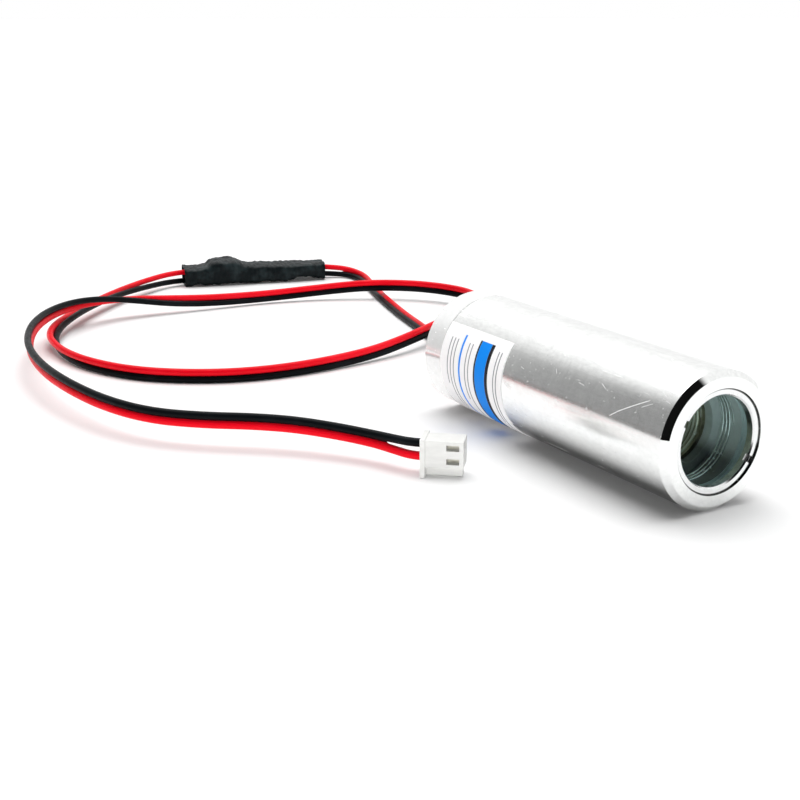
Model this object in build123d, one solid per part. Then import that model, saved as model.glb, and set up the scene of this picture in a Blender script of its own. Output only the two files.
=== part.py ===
from build123d import *
import math
import os

# A laser diode module: a turned aluminium barrel with its lens and diode, a two-wire lead to a small driver
# in a shrink sleeve, and a longer two-wire lead to a white two-way plug. Lengths are millimetres.
# The barrel lies along X with its front at +X, on the plane z = 0. The origin is under the barrel's middle.

# Barrel. Depths are measured from the front face towards the rear.
BARREL_RADIUS = 12.0
TUBE_LENGTH = 66.8
CAP_LENGTH = 6.2
FRONT_CHAMFER = 1.0
REAR_CHAMFER = 0.4
SEAM_CHAMFER = 0.2
THREAD_GAP = 0.05

# Front ring and lens
FACE_WIDTH = 2.9
RING_WIDTH = 1.3
RING_RECESS = 0.35
RING_THICKNESS = 1.5
RING_CHAMFER = 0.25
RING_SLOT_WIDTH = 1.2
RING_SLOT_DEPTH = 0.7
RING_SLOT_ANGLE = -30.0
LENS_EDGE = 2.0
LENS_GAP = 0.1
LENS_DOME_MARGIN = 0.4
LENS_CURVATURE = 22.0

# Stepped bore behind the lens
LENS_LEDGE = 0.7
FRONT_BORE_LENGTH = 5.3
BAFFLE_LEDGE = 1.6
BAFFLE_THICKNESS = 1.8
CARRIER_THREAD_LENGTH = 19.1
REAR_WALL = 2.0

# Brass carrier that holds the diode at the lens's focus
CARRIER_STEP = 2.0
CARRIER_WALL = 1.6
CARRIER_SETBACK = 0.4
CARRIER_FLANGE_THICKNESS = 3.0
CARRIER_FLANGE_GAP = 0.1
CARRIER_BODY_LENGTH = 11.0
CARRIER_WEB = 2.8
CARRIER_CONE = 4.0
CLAMP_RECESS = 4.0
CLAMP_RADIUS = 4.5
CLAMP_THICKNESS = 2.5
CLAMP_BORE_RADIUS = 2.0
CLAMP_SLOT_WIDTH = 1.0
CLAMP_SLOT_DEPTH = 0.8

# Laser diode in a 5.6 mm can
HEADER_RADIUS = 2.8
HEADER_THICKNESS = 1.2
HEADER_GAP = 0.05
CAN_RADIUS = 1.78
CAN_WALL = 0.23
CAN_HEIGHT = 2.3
CAN_FLANGE_RADIUS = 2.2
CAN_FLANGE_THICKNESS = 0.2
CAN_WINDOW_RADIUS = 0.8
CAN_HOLE_GAP = 0.1
WINDOW_THICKNESS = 0.25
WINDOW_LAP = 0.4
POST_WIDTH = 1.2
POST_DEPTH = 0.6
POST_HEIGHT = 1.2
CHIP_WIDTH = 0.3
CHIP_DEPTH = 0.12
PIN_RADIUS = 0.225
PIN_CIRCLE_RADIUS = 1.0
PIN_LENGTH = 6.5
PIN_ANGLES = (30, 150, 270)

# Rear cap
SPIGOT_LENGTH = 6.0
SPIGOT_GAP = 0.05
SPIGOT_WALL = 1.95
CAP_FLOOR = 4.0
CABLE_HOLE_GAP = 0.25

# Sticker wrapped round the side, with angles measured from the top of the barrel
LABEL_THICKNESS = 0.1
LABEL_GLUE = 0.02
LABEL_LENGTH = 21.4
LABEL_REAR_MARGIN = 0.2
LABEL_START_ANGLE = 49.0
LABEL_END_ANGLE = 167.0

# Two-wire lead
WIRE_DIAMETER = 1.6
PAIR_PITCH = 1.68
CRIMP_GAP = 0.05
RUN_SHARE = 0.45
INNER_STRAIGHT = 5.0
INNER_SLANT = 7.0

# Driver in its shrink sleeve: stations are (distance from the left end, width, height)
DRIVER_PLACE = (-185.0, -8.0)
DRIVER_ANGLE = 75.0
SLEEVE_LENGTH = 43.0
SLEEVE_WALL = 0.4
SLEEVE_CORNER = 1.9
SLEEVE_STATIONS = (
    (0.0, 9.8, 6.2), (4.0, 10.6, 5.9), (7.6, 10.8, 6.2), (9.2, 10.8, 7.6), (15.2, 10.8, 7.8),
    (18.4, 10.7, 6.1), (23.0, 10.6, 5.7), (31.0, 10.4, 5.6), (37.0, 10.1, 5.3), (SLEEVE_LENGTH, 8.4, 4.8),
)
BOARD_START = 4.0
BOARD_LENGTH = 32.0
BOARD_WIDTH = 9.0
BOARD_THICKNESS = 1.0
BOARD_HEIGHT = 2.2
INDUCTOR_AT = 12.3
INDUCTOR_RADIUS = 2.9
INDUCTOR_HEIGHT = 3.6
INDUCTOR_FLANGE = 0.8
INDUCTOR_WAIST_RADIUS = 2.2
CHIP_AT = 21.5
CHIP_SIZE = (4.9, 3.9, 1.4)
CHIP_DIMPLE_RADIUS = 0.35
CHIP_DIMPLE_DEPTH = 0.15
CHIP_DIMPLE_INSET = 0.8
CAPACITOR_AT = 27.0
CAPACITOR_SIZE = (1.6, 3.2, 1.4)
CAPACITOR_CORNER = 0.2
CAPACITOR_SPACING = 4.0
CAPACITOR_COUNT = 2
SCHOTTKY_AT = (17.2, -3.0)
SCHOTTKY_SIZE = (2.7, 1.6, 1.2)
TRIM_POT_AT = (17.2, 2.6)
TRIM_POT_SIZE = (2.6, 3.0, 1.2)
TRIM_POT_ROTOR_RADIUS = 1.0
TRIM_POT_ROTOR_HEIGHT = 0.3
TRIM_POT_SLOT = 0.4

# White two-way plug, standing on its flange and on a foot rib. Its own X axis runs from the wires to the
# mating end, along the middle of its two ways.
PLUG_PLACE = (-3.9, -32.0)
PLUG_ANGLE = 50.0
PLUG_LENGTH = 7.7
PLUG_PITCH = 2.5
PLUG_ROW_HEIGHT = 4.4
PLUG_FLANGE_LENGTH = 0.9
PLUG_FLANGE_WIDTH = 5.9
PLUG_FLANGE_TOP = 2.75
PLUG_BODY_SIZE = (4.8, 5.1)
PLUG_FOOT_LENGTH = 7.4
PLUG_FOOT_WIDTH = 1.8
PLUG_EDGE = 0.25
PLUG_CAVITY = 1.9
PLUG_MOUTH = 1.1
PLUG_FACE_WALL = 0.6
PLUG_WINDOW_SIZE = (2.3, 1.1)
PLUG_WINDOW_MARGIN = 0.75
WIRE_INSERTION = 2.0
TERMINAL_GAP = 0.1
TERMINAL_SHEET = 0.2
TERMINAL_NECK_LENGTH = 1.4
TERMINAL_NECK_WIDTH = 1.0

# Lead routes: x, y, z, lean of the red wire about the route (0 up, 90 left of travel), and how much further
# apart than the pair's own pitch the two wires stand there.
POWER_ROUTE = (
    (-2.61, -30.47, 4.4, 180, 0.82), (-5.0, -33.3, 4.4, 180, 0.8), (-8.6, -34.7, 4.4, 180, 0.45),
    (-13.2, -36.6, 4.5, 180, 0.05), (-19.2, -40.7, 4.9, 180, 0), (-26.0, -46.4, 5.3, 180, 0),
    (-31.6, -52.8, 5.4, 180, 0), (-36.9, -60.0, 5.3, 180, 0), (-44.5, -67.7, 5.3, 180, 0),
    (-55.4, -73.0, 5.6, 180, 0), (-69.8, -76.2, 6.0, 180, 0), (-85.2, -77.3, 6.2, 185, 0),
    (-100.4, -76.2, 6.4, 190, 0), (-113.0, -73.3, 6.5, 195, 0), (-125.5, -68.6, 6.6, 190, 0),
    (-136.8, -61.7, 6.6, 180, 0), (-145.0, -53.0, 6.4, 155, 0.1), (-149.5, -43.5, 5.7, 120, 0.2),
    (-150.4, -34.5, 4.6, 80, 0.2), (-149.4, -24.5, 3.3, 40, 0.2), (-148.6, -13.0, 2.4, 15, 0.1),
    (-148.0, 3.3, 2.0, 0, 0), (-144.5, 18.5, 2.9, 0, 0), (-139.0, 30.0, 4.0, 0, 0),
    (-132.0, 40.0, 4.3, 0, 0), (-124.0, 45.3, 4.0, 0, 0), (-114.5, 44.8, 3.4, 0, 0),
    (-104.5, 38.0, 3.4, 0, 0), (-95.0, 27.3, 3.6, 0, 0), (-83.2, 12.2, 3.6, 0, 0),
    (-77.5, -2.5, 2.2, 0, 0), (-74.8, -18.0, 1.68, 0, 0), (-74.3, -32.0, 1.66, 0, 0),
    (-78.2, -44.2, 1.66, 0, 0), (-87.0, -55.4, 1.66, 0, 0), (-99.0, -62.2, 1.7, 5, 0),
    (-111.5, -65.3, 1.9, 20, 0.1), (-124.5, -64.9, 2.4, 45, 0.1), (-134.8, -61.4, 2.9, 70, 0.1),
    (-145.0, -54.8, 3.1, 85, 0.1), (-155.5, -46.5, 3.1, 90, 0.1), (-167.5, -35.5, 3.0, 80, 0.2),
    (-178.0, -23.0, 2.8, 50, 0.4), (-185.5, -9.9, 2.7, 0, 0.96), (-183.2, -1.2, 2.7, 0, 0.96),
)
OUTPUT_ROUTE = (
    (-36.5, 0.0, 12.0, -90, 0), (-43.0, 0.0, 12.0, -90, 0), (-50.0, 2.2, 10.4, -90, 0),
    (-58.0, 6.0, 7.4, -90, 0), (-67.0, 10.5, 4.0, -90, 0), (-77.0, 15.0, 1.6, -90, 0),
    (-88.0, 19.6, 0.86, -90, 0), (-100.0, 23.4, 0.86, -90, 0), (-112.3, 26.8, 0.86, -90, 0),
    (-126.2, 30.6, 0.86, -90, 0), (-141.0, 34.9, 0.86, -90, 0), (-154.0, 39.2, 0.86, -90, 0.1),
    (-163.5, 41.8, 1.3, -65, 0.3), (-170.6, 40.0, 1.85, -30, 0.35), (-173.9, 33.5, 2.35, 0, 0.4),
    (-175.17, 28.71, 2.7, 0, 0.96), (-176.07, 25.33, 2.7, 0, 0.96),
)

# Places worked out from the sizes above
BARREL_LENGTH = TUBE_LENGTH + CAP_LENGTH
BARREL = Pos(BARREL_LENGTH / 2, 0, BARREL_RADIUS)
MOUTH_RADIUS = BARREL_RADIUS - FACE_WIDTH
APERTURE_RADIUS = MOUTH_RADIUS - RING_WIDTH
FRONT_BORE_RADIUS = MOUTH_RADIUS - LENS_LEDGE
LENS_DOME_RADIUS = FRONT_BORE_RADIUS - LENS_DOME_MARGIN
BAFFLE_RADIUS = FRONT_BORE_RADIUS - BAFFLE_LEDGE
REAR_BORE_RADIUS = BARREL_RADIUS - REAR_WALL
CARRIER_RADIUS = REAR_BORE_RADIUS - CARRIER_STEP
CARRIER_BORE_RADIUS = CARRIER_RADIUS - CARRIER_WALL
CAP_CAVITY_RADIUS = REAR_BORE_RADIUS - SPIGOT_GAP - SPIGOT_WALL
LENS_FRONT = RING_RECESS + RING_THICKNESS
LENS_SEAT = LENS_FRONT + LENS_EDGE
BAFFLE_FRONT = LENS_SEAT + FRONT_BORE_LENGTH
BAFFLE_REAR = BAFFLE_FRONT + BAFFLE_THICKNESS
CARRIER_FRONT = BAFFLE_REAR + CARRIER_SETBACK
FLANGE_FRONT = BAFFLE_REAR + CARRIER_THREAD_LENGTH
FLANGE_REAR = FLANGE_FRONT + CARRIER_FLANGE_THICKNESS
CLAMP_FRONT = FLANGE_REAR + CARRIER_BODY_LENGTH
CARRIER_REAR = CLAMP_FRONT + CLAMP_RECESS
HEADER_FRONT = CLAMP_FRONT - HEADER_THICKNESS
CAN_HOLE_RADIUS = CAN_FLANGE_RADIUS + CAN_HOLE_GAP
CAN_FRONT = HEADER_FRONT - CAN_HEIGHT
PIN_END = CLAMP_FRONT + PIN_LENGTH
WIRE_RADIUS = WIRE_DIAMETER / 2
CABLE_HOLE_RADIUS = PAIR_PITCH / 2 + WIRE_RADIUS + CABLE_HOLE_GAP
DRIVER = Pos(*DRIVER_PLACE, 0) * Rot(0, 0, DRIVER_ANGLE)
BOARD_TOP = BOARD_HEIGHT + BOARD_THICKNESS
PLUG = Pos(*PLUG_PLACE, PLUG_ROW_HEIGHT) * Rot(0, 0, PLUG_ANGLE)


def turned(*points):
    """A solid turned about the barrel's axis from (depth, radius) points."""
    profile = make_face(Polyline(*[(-depth, radius) for depth, radius in points], close=True))
    return BARREL * revolve(profile, Axis.X)


def spanner_slots(depth_front, depth, width, reach, angle):
    """Two slots across a ring, on one diameter, cut from the given depth towards the rear."""
    bar = Box(depth, 2 * reach, width)
    return BARREL * Pos(-(depth_front + depth / 2), 0, 0) * Rot(angle, 0, 0) * bar


def housing_tube():
    return turned(
        (0, BARREL_RADIUS - FRONT_CHAMFER), (FRONT_CHAMFER, BARREL_RADIUS),
        (TUBE_LENGTH - SEAM_CHAMFER, BARREL_RADIUS), (TUBE_LENGTH, BARREL_RADIUS - SEAM_CHAMFER),
        (TUBE_LENGTH, REAR_BORE_RADIUS), (FLANGE_FRONT, REAR_BORE_RADIUS),
        (FLANGE_FRONT, CARRIER_RADIUS + THREAD_GAP), (BAFFLE_REAR, CARRIER_RADIUS + THREAD_GAP),
        (BAFFLE_REAR, BAFFLE_RADIUS), (BAFFLE_FRONT, BAFFLE_RADIUS),
        (BAFFLE_FRONT, FRONT_BORE_RADIUS), (LENS_SEAT, FRONT_BORE_RADIUS),
        (LENS_SEAT, MOUTH_RADIUS), (0, MOUTH_RADIUS),
    )


def front_ring():
    ring = turned(
        (RING_RECESS, MOUTH_RADIUS - THREAD_GAP), (LENS_FRONT, MOUTH_RADIUS - THREAD_GAP),
        (LENS_FRONT, APERTURE_RADIUS), (RING_RECESS + RING_CHAMFER, APERTURE_RADIUS),
        (RING_RECESS, APERTURE_RADIUS + RING_CHAMFER),
    )
    return ring - spanner_slots(RING_RECESS, RING_SLOT_DEPTH, RING_SLOT_WIDTH, MOUTH_RADIUS, RING_SLOT_ANGLE)


def dome_depth(radius):
    """Depth of the lens's rear surface at a radius, on a sphere that meets its seat at the dome's foot."""
    foot = math.sqrt(LENS_CURVATURE ** 2 - LENS_DOME_RADIUS ** 2)
    return LENS_SEAT + math.sqrt(LENS_CURVATURE ** 2 - radius ** 2) - foot


def collimating_lens():
    edge = MOUTH_RADIUS - LENS_GAP
    half = LENS_DOME_RADIUS / 2
    outline = Polyline(
        (-dome_depth(0), 0), (-LENS_FRONT, 0), (-LENS_FRONT, edge), (-LENS_SEAT, edge),
        (-LENS_SEAT, LENS_DOME_RADIUS),
    )
    dome = ThreePointArc((-LENS_SEAT, LENS_DOME_RADIUS), (-dome_depth(half), half), (-dome_depth(0), 0))
    return BARREL * revolve(make_face(outline + dome), Axis.X)


def laser_carrier():
    flange = REAR_BORE_RADIUS - CARRIER_FLANGE_GAP
    web_front = HEADER_FRONT - CARRIER_WEB
    return turned(
        (CARRIER_FRONT, CARRIER_RADIUS), (FLANGE_FRONT, CARRIER_RADIUS), (FLANGE_FRONT, flange),
        (FLANGE_REAR, flange), (FLANGE_REAR, CARRIER_RADIUS), (CARRIER_REAR, CARRIER_RADIUS),
        (CARRIER_REAR, CLAMP_RADIUS), (CLAMP_FRONT, CLAMP_RADIUS),
        (CLAMP_FRONT, HEADER_RADIUS + HEADER_GAP), (HEADER_FRONT, HEADER_RADIUS + HEADER_GAP),
        (HEADER_FRONT, CAN_HOLE_RADIUS), (web_front, CAN_HOLE_RADIUS),
        (web_front - CARRIER_CONE, CARRIER_BORE_RADIUS), (CARRIER_FRONT, CARRIER_BORE_RADIUS),
    )


def diode_clamp_ring():
    rear = CLAMP_FRONT + CLAMP_THICKNESS
    outer = CLAMP_RADIUS - THREAD_GAP
    ring = turned(
        (CLAMP_FRONT, CLAMP_BORE_RADIUS), (CLAMP_FRONT, outer), (rear, outer), (rear, CLAMP_BORE_RADIUS)
    )
    return ring - spanner_slots(rear - CLAMP_SLOT_DEPTH, CLAMP_SLOT_DEPTH, CLAMP_SLOT_WIDTH, CLAMP_RADIUS, 0)


def diode_header():
    disc = turned(
        (HEADER_FRONT, 0), (HEADER_FRONT, HEADER_RADIUS), (CLAMP_FRONT, HEADER_RADIUS), (CLAMP_FRONT, 0)
    )
    post = Box(POST_HEIGHT, POST_WIDTH, POST_DEPTH)
    return disc + BARREL * Pos(-(HEADER_FRONT - POST_HEIGHT / 2), 0, -POST_DEPTH / 2 - CHIP_DEPTH) * post


def laser_chip():
    chip = Box(POST_HEIGHT, CHIP_WIDTH, CHIP_DEPTH)
    return BARREL * Pos(-(HEADER_FRONT - POST_HEIGHT / 2), 0, -CHIP_DEPTH / 2) * chip


def diode_can():
    inner = CAN_RADIUS - CAN_WALL
    flange_front = HEADER_FRONT - CAN_FLANGE_THICKNESS
    return turned(
        (HEADER_FRONT, inner), (HEADER_FRONT, CAN_FLANGE_RADIUS), (flange_front, CAN_FLANGE_RADIUS),
        (flange_front, CAN_RADIUS), (CAN_FRONT, CAN_RADIUS), (CAN_FRONT, CAN_WINDOW_RADIUS),
        (CAN_FRONT + CAN_WALL, CAN_WINDOW_RADIUS), (CAN_FRONT + CAN_WALL, inner),
    )


def diode_window():
    front = CAN_FRONT + CAN_WALL
    rear = front + WINDOW_THICKNESS
    radius = CAN_WINDOW_RADIUS + WINDOW_LAP
    return turned((front, 0), (front, radius), (rear, radius), (rear, 0))


def pin_place(angle):
    """Offset of a diode pin from the barrel's axis, as y and z."""
    turn = math.radians(angle)
    return PIN_CIRCLE_RADIUS * math.cos(turn), PIN_CIRCLE_RADIUS * math.sin(turn)


def diode_pins():
    pins = []
    for angle in PIN_ANGLES:
        across, up = pin_place(angle)
        pin = Rot(0, 90, 0) * Cylinder(PIN_RADIUS, PIN_LENGTH)
        pins.append(BARREL * Pos(-(CLAMP_FRONT + PIN_LENGTH / 2), across, up) * pin)
    return Compound(children=pins)


def rear_cap():
    spigot_front = TUBE_LENGTH - SPIGOT_LENGTH
    spigot = REAR_BORE_RADIUS - SPIGOT_GAP
    floor = BARREL_LENGTH - CAP_FLOOR
    return turned(
        (spigot_front, spigot), (TUBE_LENGTH, spigot), (TUBE_LENGTH, BARREL_RADIUS - SEAM_CHAMFER),
        (TUBE_LENGTH + SEAM_CHAMFER, BARREL_RADIUS), (BARREL_LENGTH - REAR_CHAMFER, BARREL_RADIUS),
        (BARREL_LENGTH, BARREL_RADIUS - REAR_CHAMFER), (BARREL_LENGTH, CABLE_HOLE_RADIUS),
        (floor, CABLE_HOLE_RADIUS), (floor, CAP_CAVITY_RADIUS), (spigot_front, CAP_CAVITY_RADIUS),
    )


def label():
    def rim(radius, angle):
        turn = math.radians(angle)
        return (-radius * math.sin(turn), radius * math.cos(turn))

    inner = BARREL_RADIUS + LABEL_GLUE
    outer = inner + LABEL_THICKNESS
    middle = (LABEL_START_ANGLE + LABEL_END_ANGLE) / 2
    start, end = LABEL_START_ANGLE, LABEL_END_ANGLE
    strip = make_face(
        ThreePointArc(rim(inner, start), rim(inner, middle), rim(inner, end))
        + Line(rim(inner, end), rim(outer, end))
        + ThreePointArc(rim(outer, end), rim(outer, middle), rim(outer, start))
        + Line(rim(outer, start), rim(inner, start))
    )
    front = TUBE_LENGTH - LABEL_REAR_MARGIN - LABEL_LENGTH
    return BARREL * Pos(-front, 0, 0) * extrude(Plane.YZ * strip, -LABEL_LENGTH)


def corner_radius(before, corner, after):
    """The largest arc that the two runs at a corner allow."""
    turn = (corner - before).get_angle(after - corner)
    shorter = min((corner - before).length, (after - corner).length)
    return RUN_SHARE * shorter / math.tan(math.radians(turn) / 2)


def wire_tube(name, points):
    """A round wire along straight runs joined by tangent arcs. Prints its length, volume share and arcs."""
    corners = [Vector(*p) for p in points]
    radii = [corner_radius(*corners[i - 1:i + 2]) for i in range(1, len(corners) - 1)]
    path = FilletPolyline(*corners, radius=radii)
    tube = sweep(Plane(origin=path @ 0, z_dir=path % 0) * Circle(WIRE_RADIUS), path)
    share = tube.volume / (math.pi * WIRE_RADIUS ** 2 * path.length)
    print(f"{name}: {path.length:.1f} mm long, volume share {share:.4f}, radii", [round(r, 1) for r in radii])
    return tube


def wire_points(route, side):
    """Points of one wire of a lead: side is 1 for red and -1 for black."""
    middles = [Vector(*point[:3]) for point in route]
    points = []
    for i, (*_, lean, extra) in enumerate(route):
        travel = middles[min(i + 1, len(route) - 1)] - middles[max(i - 1, 0)]
        level = math.hypot(travel.X, travel.Y)
        left = Vector(-travel.Y / level, travel.X / level, 0)
        turn = math.radians(lean)
        offset = Vector(0, 0, math.cos(turn)) + left * math.sin(turn)
        points.append(middles[i] + offset * (side * (PAIR_PITCH + extra) / 2))
    return points


def inner_wire(name, pin_angle, side):
    """Hidden wire from a diode pin to the hole in the rear cap."""
    across, up = pin_place(pin_angle)
    pin_end = BARREL_LENGTH / 2 - PIN_END
    bend = pin_end - INNER_STRAIGHT
    level = BARREL_RADIUS
    points = (
        (pin_end, across, level + up), (bend, across, level + up),
        (bend - INNER_SLANT, side * PAIR_PITCH / 2, level),
        (-BARREL_LENGTH / 2, side * PAIR_PITCH / 2, level),
    )
    return wire_tube(name, points)


def sleeve_skin(inset):
    """The sleeve's form, drawn in by a wall thickness, as a loft through its stations."""
    sections = []
    for along, width, height in SLEEVE_STATIONS:
        flat = RectangleRounded(width - 2 * inset, height - 2 * inset, SLEEVE_CORNER - inset)
        sections.append(Plane((along, 0, height / 2), x_dir=(0, 1, 0), z_dir=(1, 0, 0)) * flat)
    return loft(sections, ruled=True)


def driver_sleeve():
    return DRIVER * (sleeve_skin(0) - sleeve_skin(SLEEVE_WALL))


def on_board(along, across, solid):
    """Stands a component on the driver board, with its own underside at its lowest point."""
    lift = BOARD_TOP - solid.bounding_box().min.Z
    return DRIVER * Pos(along, across, lift) * solid


def driver_board():
    board = Box(BOARD_LENGTH, BOARD_WIDTH, BOARD_THICKNESS)
    return DRIVER * Pos(BOARD_START + BOARD_LENGTH / 2, 0, BOARD_HEIGHT + BOARD_THICKNESS / 2) * board


def power_inductor():
    top = INDUCTOR_HEIGHT - INDUCTOR_FLANGE
    profile = make_face(Polyline(
        (0, 0), (INDUCTOR_RADIUS, 0), (INDUCTOR_RADIUS, INDUCTOR_FLANGE),
        (INDUCTOR_WAIST_RADIUS, INDUCTOR_FLANGE), (INDUCTOR_WAIST_RADIUS, top),
        (INDUCTOR_RADIUS, top), (INDUCTOR_RADIUS, INDUCTOR_HEIGHT), (0, INDUCTOR_HEIGHT),
        close=True,
    ))
    return on_board(INDUCTOR_AT, 0, revolve(Plane.XZ * profile, Axis.Z))


def driver_chip():
    length, width, height = CHIP_SIZE
    body = Box(length, width, height)
    dimple = Cylinder(CHIP_DIMPLE_RADIUS, 2 * CHIP_DIMPLE_DEPTH)
    corner = Pos(CHIP_DIMPLE_INSET - length / 2, CHIP_DIMPLE_INSET - width / 2, height / 2)
    return on_board(CHIP_AT, 0, body - corner * dimple)


def ceramic_capacitors():
    block = Box(*CAPACITOR_SIZE)
    block = fillet(block.edges().filter_by(Axis.Y), CAPACITOR_CORNER)
    places = [CAPACITOR_AT + i * CAPACITOR_SPACING for i in range(CAPACITOR_COUNT)]
    return Compound(children=[on_board(along, 0, block) for along in places])


def schottky_diode():
    return on_board(*SCHOTTKY_AT, Box(*SCHOTTKY_SIZE))


def trim_pot():
    base = Box(*TRIM_POT_SIZE)
    rotor = Cylinder(TRIM_POT_ROTOR_RADIUS, TRIM_POT_ROTOR_HEIGHT)
    slot = Box(2 * TRIM_POT_ROTOR_RADIUS, TRIM_POT_SLOT, TRIM_POT_ROTOR_HEIGHT)
    top = Pos(0, 0, (TRIM_POT_SIZE[2] + TRIM_POT_ROTOR_HEIGHT) / 2)
    return on_board(*TRIM_POT_AT, base + top * (rotor - slot))


def block_from(start, length, size):
    """A block along the plug's axis, centred on it, from a distance behind the wire end."""
    return Pos(start + length / 2, 0, 0) * Box(length, *size)


def plug_housing():
    body = block_from(0, PLUG_LENGTH, PLUG_BODY_SIZE)
    flange_height = PLUG_ROW_HEIGHT + PLUG_FLANGE_TOP
    flange = block_from(0, PLUG_FLANGE_LENGTH, (PLUG_FLANGE_WIDTH, flange_height))
    flange = Pos(0, 0, PLUG_FLANGE_TOP - flange_height / 2) * flange
    foot = block_from(0, PLUG_FOOT_LENGTH, (PLUG_FOOT_WIDTH, PLUG_ROW_HEIGHT))
    foot = Pos(0, 0, -PLUG_ROW_HEIGHT / 2) * foot
    shell = body + flange + foot
    shell = fillet(shell.edges().filter_by(Axis.X), PLUG_EDGE)
    face = -PLUG_BODY_SIZE[0] / 2
    depth = PLUG_BODY_SIZE[0] / 2
    window_at = PLUG_LENGTH - PLUG_WINDOW_MARGIN - PLUG_WINDOW_SIZE[0] / 2
    for side in (-1, 1):
        up = side * PLUG_PITCH / 2
        shell -= Pos(0, 0, up) * block_from(0, PLUG_LENGTH - PLUG_FACE_WALL, (PLUG_CAVITY, PLUG_CAVITY))
        shell -= Pos(0, 0, up) * block_from(0, PLUG_LENGTH, (PLUG_MOUTH, PLUG_MOUTH))
        shell -= Pos(window_at, face + depth / 2, up) * Box(PLUG_WINDOW_SIZE[0], depth, PLUG_WINDOW_SIZE[1])
    return PLUG * shell


def crimp_terminals():
    outer = PLUG_CAVITY - 2 * TERMINAL_GAP
    inner = outer - 2 * TERMINAL_SHEET
    neck_start = WIRE_INSERTION + CRIMP_GAP
    box_start = neck_start + TERMINAL_NECK_LENGTH
    box_length = PLUG_LENGTH - PLUG_FACE_WALL - TERMINAL_GAP - box_start
    neck = block_from(neck_start, TERMINAL_NECK_LENGTH, (TERMINAL_NECK_WIDTH, TERMINAL_NECK_WIDTH))
    socket = block_from(box_start, box_length, (outer, outer)) - block_from(
        box_start + TERMINAL_SHEET, box_length, (inner, inner))
    return Compound(children=[PLUG * Pos(0, 0, side * PLUG_PITCH / 2) * (neck + socket) for side in (-1, 1)])


NODES = {
    "housing_tube": housing_tube(),
    "front_ring": front_ring(),
    "collimating_lens": collimating_lens(),
    "laser_carrier": laser_carrier(),
    "diode_clamp_ring": diode_clamp_ring(),
    "diode_header": diode_header(),
    "diode_can": diode_can(),
    "diode_window": diode_window(),
    "laser_chip": laser_chip(),
    "diode_pins": diode_pins(),
    "inner_wire_red": inner_wire("inner_wire_red", PIN_ANGLES[0], 1),
    "inner_wire_black": inner_wire("inner_wire_black", PIN_ANGLES[1], -1),
    "rear_cap": rear_cap(),
    "label": label(),
    "driver_sleeve": driver_sleeve(),
    "driver_board": driver_board(),
    "power_inductor": power_inductor(),
    "driver_chip": driver_chip(),
    "ceramic_capacitors": ceramic_capacitors(),
    "schottky_diode": schottky_diode(),
    "trim_pot": trim_pot(),
    "plug_housing": plug_housing(),
    "crimp_terminals": crimp_terminals(),
    "power_lead_red": wire_tube("power_lead_red", wire_points(POWER_ROUTE, 1)),
    "power_lead_black": wire_tube("power_lead_black", wire_points(POWER_ROUTE, -1)),
    "output_lead_red": wire_tube("output_lead_red", wire_points(OUTPUT_ROUTE, 1)),
    "output_lead_black": wire_tube("output_lead_black", wire_points(OUTPUT_ROUTE, -1)),
}

os.makedirs("parts", exist_ok=True)
for node, solid in NODES.items():
    export_step(solid, f"parts/{node}.step")
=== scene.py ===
import math

import bpy
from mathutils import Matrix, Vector, noise


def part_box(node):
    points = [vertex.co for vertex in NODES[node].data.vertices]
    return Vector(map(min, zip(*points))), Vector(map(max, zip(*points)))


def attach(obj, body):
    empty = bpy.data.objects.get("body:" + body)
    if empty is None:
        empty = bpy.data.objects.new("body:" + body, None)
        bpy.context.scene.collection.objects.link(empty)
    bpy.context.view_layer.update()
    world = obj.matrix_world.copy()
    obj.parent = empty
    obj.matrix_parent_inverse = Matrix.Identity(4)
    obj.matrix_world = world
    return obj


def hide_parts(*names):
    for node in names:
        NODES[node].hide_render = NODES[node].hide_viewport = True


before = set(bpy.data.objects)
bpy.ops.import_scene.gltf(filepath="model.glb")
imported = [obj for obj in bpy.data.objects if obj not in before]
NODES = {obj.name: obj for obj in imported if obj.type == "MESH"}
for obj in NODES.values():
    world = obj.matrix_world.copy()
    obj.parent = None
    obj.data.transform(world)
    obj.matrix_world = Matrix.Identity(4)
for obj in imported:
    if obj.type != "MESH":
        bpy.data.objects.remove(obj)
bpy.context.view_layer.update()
ROOT = "root"
MM = 0.001

# Camera at the photograph's viewpoint
CAMERA_PLACE = (0.18183, -0.14367, 0.07823)
CAMERA_AZIMUTH = 59.84
CAMERA_ELEVATION = 16.61
CAMERA_LENS_MM = 57.87
CAMERA_SHIFT = -0.005
CAMERA_NEAR, CAMERA_FAR = 0.005, 100

# Floor, which ends in front of the object, out of the camera's view
FLOOR_SIZE = 60.0
FLOOR_EDGE_Y = -0.19
FLOOR_COLOUR = (0.90, 0.90, 0.90)
FLOOR_GRAIN = (60, 60, 60)
FLOOR_GRAIN_SHADE = 0.995
FLOOR_ROUGHNESS = 0.9
FLOOR_SHEEN = 0.1
FLOOR_GLOW = 0.02

# Lamps: a soft key from above, which also shows in metal, and a low fill from the camera's side
LAMPS = (
    {"name": "key", "strength": 2.7, "angle": 60.0, "travel": (0.22, -0.06, -0.97), "shows_in_metal": True},
    {"name": "fill", "strength": 3.0, "angle": 25.0, "travel": (-0.82, 0.57, -0.02), "shows_in_metal": False},
)

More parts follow.
